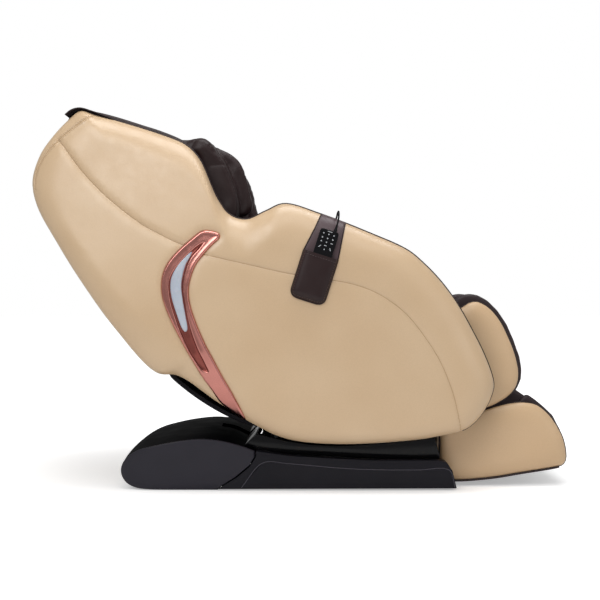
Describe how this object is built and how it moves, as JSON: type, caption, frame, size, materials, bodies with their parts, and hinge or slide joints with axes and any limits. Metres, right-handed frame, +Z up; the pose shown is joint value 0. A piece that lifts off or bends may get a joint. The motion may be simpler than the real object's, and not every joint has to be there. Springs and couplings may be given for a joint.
{
  "type": "massage chair",
  "caption": "Reclined padded massage chair: tilting body on a rocker base, lifting calf and foot rest, rolling massage carriage, corded remote in a side pouch.",
  "frame": {"origin": "on the floor under the middle of the chair's length and width", "axes": "+X towards the feet, +Y to the sitter's left, +Z up"},
  "size_m": [1.562, 0.781, 1.1054],
  "materials": {
    "beige_leather": "satin",
    "brown_leather": "satin",
    "liner_leather": "matte",
    "black_satin": "satin",
    "black_gloss": "gloss",
    "rose_gold": "polished",
    "lamp_white": "satin",
    "steel": "satin",
    "frame_steel": "satin",
    "mechanism": "satin",
    "rubber": "matte"
  },
  "bodies": {
    "base": {"base_frame": "frame_steel", "base_rear_shell": "black_satin", "base_front_shell": "black_satin", "pedestal_cover": "black_gloss", "floor_pad_rear": "rubber", "floor_pad_front": "rubber", "control_box": "mechanism", "power_inlet": "black_satin"},
    "body": {"seat_frame": "frame_steel", "side_shell_right": "beige_leather", "side_shell_left": "beige_leather", "trim_strip_right": "rose_gold", "trim_strip_left": "rose_gold", "lamp_lens_right": "lamp_white", "lamp_lens_left": "lamp_white", "back_shell": "beige_leather", "lower_back_cover": "black_satin", "massage_track": "steel", "back_cushion": "brown_leather", "head_pillow": "brown_leather", "head_pad": "brown_leather", "shoulder_pad_right": "brown_leather", "shoulder_pad_left": "brown_leather", "seat_cushion": "brown_leather", "arm_pad_right": "brown_leather", "arm_pad_left": "brown_leather", "remote_pouch": "brown_leather", "remote": "black_gloss", "remote_strain_relief": "rubber", "remote_cord_lead": "rubber", "remote_cord_coil": "rubber", "cord_gland": "rubber"},
    "wheels": {"transport_wheels": "rubber"},
    "switch": {"power_switch": "black_gloss"},
    "actuator": {"tilt_actuator": "mechanism"},
    "rod": {"tilt_rod": "steel"},
    "carriage": {"massage_carriage": "mechanism"},
    "leg": {"calf_shell": "beige_leather", "calf_liner": "liner_leather", "leg_lift_motor": "mechanism"},
    "foot": {"foot_shell": "beige_leather", "foot_liner": "liner_leather", "foot_guide_frame": "steel"},
    "sole_roller": {"foot_roller": "rubber"},
    "roller_rear_right": {"track_roller_rear_right": "steel"},
    "roller_rear_left": {"track_roller_rear_left": "steel"},
    "roller_front_right": {"track_roller_front_right": "steel"},
    "roller_front_left": {"track_roller_front_left": "steel"},
    "kneading_arm_right": {"massage_arm_right": "mechanism"},
    "kneading_arm_left": {"massage_arm_left": "mechanism"},
    "head_upper_right": {"massage_head_upper_right": "liner_leather"},
    "head_upper_left": {"massage_head_upper_left": "liner_leather"},
    "head_lower_right": {"massage_head_lower_right": "liner_leather"},
    "head_lower_left": {"massage_head_lower_left": "liner_leather"},
    "button_1": {"remote_button_1": "rubber"},
    "button_2": {"remote_button_2": "rubber"},
    "button_3": {"remote_button_3": "rubber"},
    "button_4": {"remote_button_4": "rubber"},
    "button_5": {"remote_button_5": "rubber"},
    "button_6": {"remote_button_6": "rubber"}
  },
  "joints": [
    {"name": "shell_tilt", "type": "hinge", "parent": "base", "child": "body", "pos_m": [0.1, 0, 0.842], "axis": [0, -1, 0], "range_deg": [0, 28]},
    {"name": "roller_rear_right_spin", "type": "hinge", "parent": "base", "child": "roller_rear_right", "pos_m": [-0.07547, -0.15, 0.13824], "axis": [0, -1, 0], "range_deg": [-1245, 5]},
    {"name": "roller_rear_left_spin", "type": "hinge", "parent": "base", "child": "roller_rear_left", "pos_m": [-0.07547, 0.15, 0.13824], "axis": [0, -1, 0], "range_deg": [-1245, 5]},
    {"name": "roller_front_right_spin", "type": "hinge", "parent": "base", "child": "roller_front_right", "pos_m": [0.34807, -0.15, 0.16044], "axis": [0, -1, 0], "range_deg": [-1245, 5]},
    {"name": "roller_front_left_spin", "type": "hinge", "parent": "base", "child": "roller_front_left", "pos_m": [0.34807, 0.15, 0.16044], "axis": [0, -1, 0], "range_deg": [-1245, 5]},
    {"name": "actuator_swing", "type": "hinge", "parent": "base", "child": "actuator", "pos_m": [-0.212, 0, 0.089], "axis": [0, -1, 0], "range_deg": [-0.5, 8]},
    {"name": "actuator_stroke", "type": "slide", "parent": "actuator", "child": "rod", "axis": [0.9834, 0, 0.1812], "range_m": [-0.001, 0.3242]},
    {"name": "carriage_travel", "type": "slide", "parent": "body", "child": "carriage", "axis": [-0.6, 0, 0.8], "range_m": [-0.055, 0.29]},
    {"name": "knead_right", "type": "hinge", "parent": "carriage", "child": "kneading_arm_right", "pos_m": [-0.413, -0.075, 0.509], "axis": [0, -1, 0], "range_deg": [-5, 5]},
    {"name": "knead_left", "type": "hinge", "parent": "carriage", "child": "kneading_arm_left", "pos_m": [-0.413, 0.075, 0.509], "axis": [0, -1, 0], "range_deg": [-5, 5]},
    {"name": "head_upper_right_spin", "type": "hinge", "parent": "kneading_arm_right", "child": "head_upper_right", "pos_m": [-0.4178, -0.073, 0.5754], "axis": [0, -1, 0], "continuous": true},
    {"name": "head_upper_left_spin", "type": "hinge", "parent": "kneading_arm_left", "child": "head_upper_left", "pos_m": [-0.4178, 0.073, 0.5754], "axis": [0, -1, 0], "continuous": true},
    {"name": "head_lower_right_spin", "type": "hinge", "parent": "kneading_arm_right", "child": "head_lower_right", "pos_m": [-0.3506, -0.073, 0.4858], "axis": [0, -1, 0], "continuous": true},
    {"name": "head_lower_left_spin", "type": "hinge", "parent": "kneading_arm_left", "child": "head_lower_left", "pos_m": [-0.3506, 0.073, 0.4858], "axis": [0, -1, 0], "continuous": true},
    {"name": "leg_lift", "type": "hinge", "parent": "body", "child": "leg", "pos_m": [0.462, 0, 0.48], "axis": [0, -1, 0], "range_deg": [0, 80]},
    {"name": "foot_extend", "type": "slide", "parent": "leg", "child": "foot", "axis": [0.1701, 0, -0.9854], "range_m": [0, 0.1]},
    {"name": "sole_roller_spin", "type": "hinge", "parent": "foot", "child": "sole_roller", "pos_m": [0.6, 0, 0.066], "axis": [0, -1, 0], "continuous": true},
    {"name": "wheel_spin", "type": "hinge", "parent": "base", "child": "wheels", "pos_m": [-0.478, 0, 0.03], "axis": [0, 1, 0], "continuous": true},
    {"name": "switch_rock", "type": "hinge", "parent": "base", "child": "switch", "pos_m": [-0.506, -0.06, 0.066], "axis": [0, 1, 0], "range_deg": [-8, 8]},
    {"name": "button_1_press", "type": "slide", "parent": "body", "child": "button_1", "axis": [0, 1, 0], "range_m": [0, 0.001], "stiffness_N_per_m": 300},
    {"name": "button_2_press", "type": "slide", "parent": "body", "child": "button_2", "axis": [0, 1, 0], "range_m": [0, 0.001], "stiffness_N_per_m": 300},
    {"name": "button_3_press", "type": "slide", "parent": "body", "child": "button_3", "axis": [0, 1, 0], "range_m": [0, 0.001], "stiffness_N_per_m": 300},
    {"name": "button_4_press", "type": "slide", "parent": "body", "child": "button_4", "axis": [0, 1, 0], "range_m": [0, 0.001], "stiffness_N_per_m": 300},
    {"name": "button_5_press", "type": "slide", "parent": "body", "child": "button_5", "axis": [0, 1, 0], "range_m": [0, 0.001], "stiffness_N_per_m": 300},
    {"name": "button_6_press", "type": "slide", "parent": "body", "child": "button_6", "axis": [0, 1, 0], "range_m": [0, 0.001], "stiffness_N_per_m": 300}
  ],
  "couplings": [
    {"joint": "roller_rear_right_spin", "follows": "shell_tilt", "ratio": -44.312},
    {"joint": "roller_rear_left_spin", "follows": "shell_tilt", "ratio": -44.312},
    {"joint": "roller_front_right_spin", "follows": "shell_tilt", "ratio": -44.312},
    {"joint": "roller_front_left_spin", "follows": "shell_tilt", "ratio": -44.312},
    {"joint": "actuator_swing", "follows": "shell_tilt", "ratio": 0.278},
    {"joint": "actuator_stroke", "follows": "shell_tilt", "m_per_rad": 0.661},
    {"joint": "knead_left", "follows": "knead_right", "ratio": -1},
    {"joint": "foot_extend", "follows": "leg_lift", "m_per_rad": 0.0716}
  ]
}
